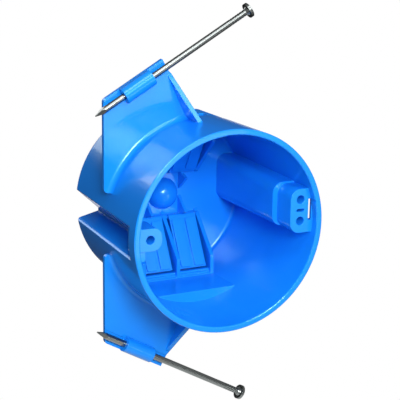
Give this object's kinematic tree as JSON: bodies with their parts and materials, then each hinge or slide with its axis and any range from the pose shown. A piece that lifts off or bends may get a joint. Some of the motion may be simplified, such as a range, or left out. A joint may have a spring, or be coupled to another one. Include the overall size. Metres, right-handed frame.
{
  "type": "ceiling electrical box",
  "caption": "Round moulded plastic nail-on ceiling box with splayed captive nails, side flanges, screw bosses and springy cable clamps inside.",
  "frame": {"origin": "midway between the two opposite fixture screw holes, in the plane of the screw pads, which lies 4.8 mm inside the rim", "axes": "+X points away from the joist, +Y runs from the mouth towards the back wall, +Z runs along the joist"},
  "size_m": [0.1165, 0.0906, 0.2298],
  "materials": {
    "blue_plastic": "glossy moulded PVC",
    "nail_steel": "bright drawn wire"
  },
  "bodies": {
    "box": {"box_body": "blue_plastic"},
    "upper_nail": {"upper_nail": "nail_steel"},
    "lower_nail": {"lower_nail": "nail_steel"},
    "upper_joist_side_clamp": {"upper_joist_side_clamp": "blue_plastic"},
    "upper_far_side_clamp": {"upper_far_side_clamp": "blue_plastic"},
    "lower_joist_side_clamp": {"lower_joist_side_clamp": "blue_plastic"},
    "lower_far_side_clamp": {"lower_far_side_clamp": "blue_plastic"}
  },
  "joints": [
    {"name": "upper_nail_drive", "type": "slide", "parent": "box", "child": "upper_nail", "axis": [-0.866, 0, -0.5], "range_m": [0, 0.053]},
    {"name": "lower_nail_drive", "type": "slide", "parent": "box", "child": "lower_nail", "axis": [-0.866, 0, 0.5], "range_m": [0, 0.053]},
    {"name": "upper_joist_side_clamp_flex", "type": "hinge", "parent": "box", "child": "upper_joist_side_clamp", "pos_m": [-0.0108, 0.0794, 0.0138], "axis": [1, 0, 0], "range_deg": [0, 35], "stiffness_Nm_per_rad": 0.02},
    {"name": "upper_far_side_clamp_flex", "type": "hinge", "parent": "box", "child": "upper_far_side_clamp", "pos_m": [0.0108, 0.0794, 0.0138], "axis": [1, 0, 0], "range_deg": [0, 35], "stiffness_Nm_per_rad": 0.02},
    {"name": "lower_joist_side_clamp_flex", "type": "hinge", "parent": "box", "child": "lower_joist_side_clamp", "pos_m": [-0.0108, 0.0794, -0.0138], "axis": [-1, 0, 0], "range_deg": [0, 35], "stiffness_Nm_per_rad": 0.02},
    {"name": "lower_far_side_clamp_flex", "type": "hinge", "parent": "box", "child": "lower_far_side_clamp", "pos_m": [0.0108, 0.0794, -0.0138], "axis": [-1, 0, 0], "range_deg": [0, 35], "stiffness_Nm_per_rad": 0.02}
  ]
}
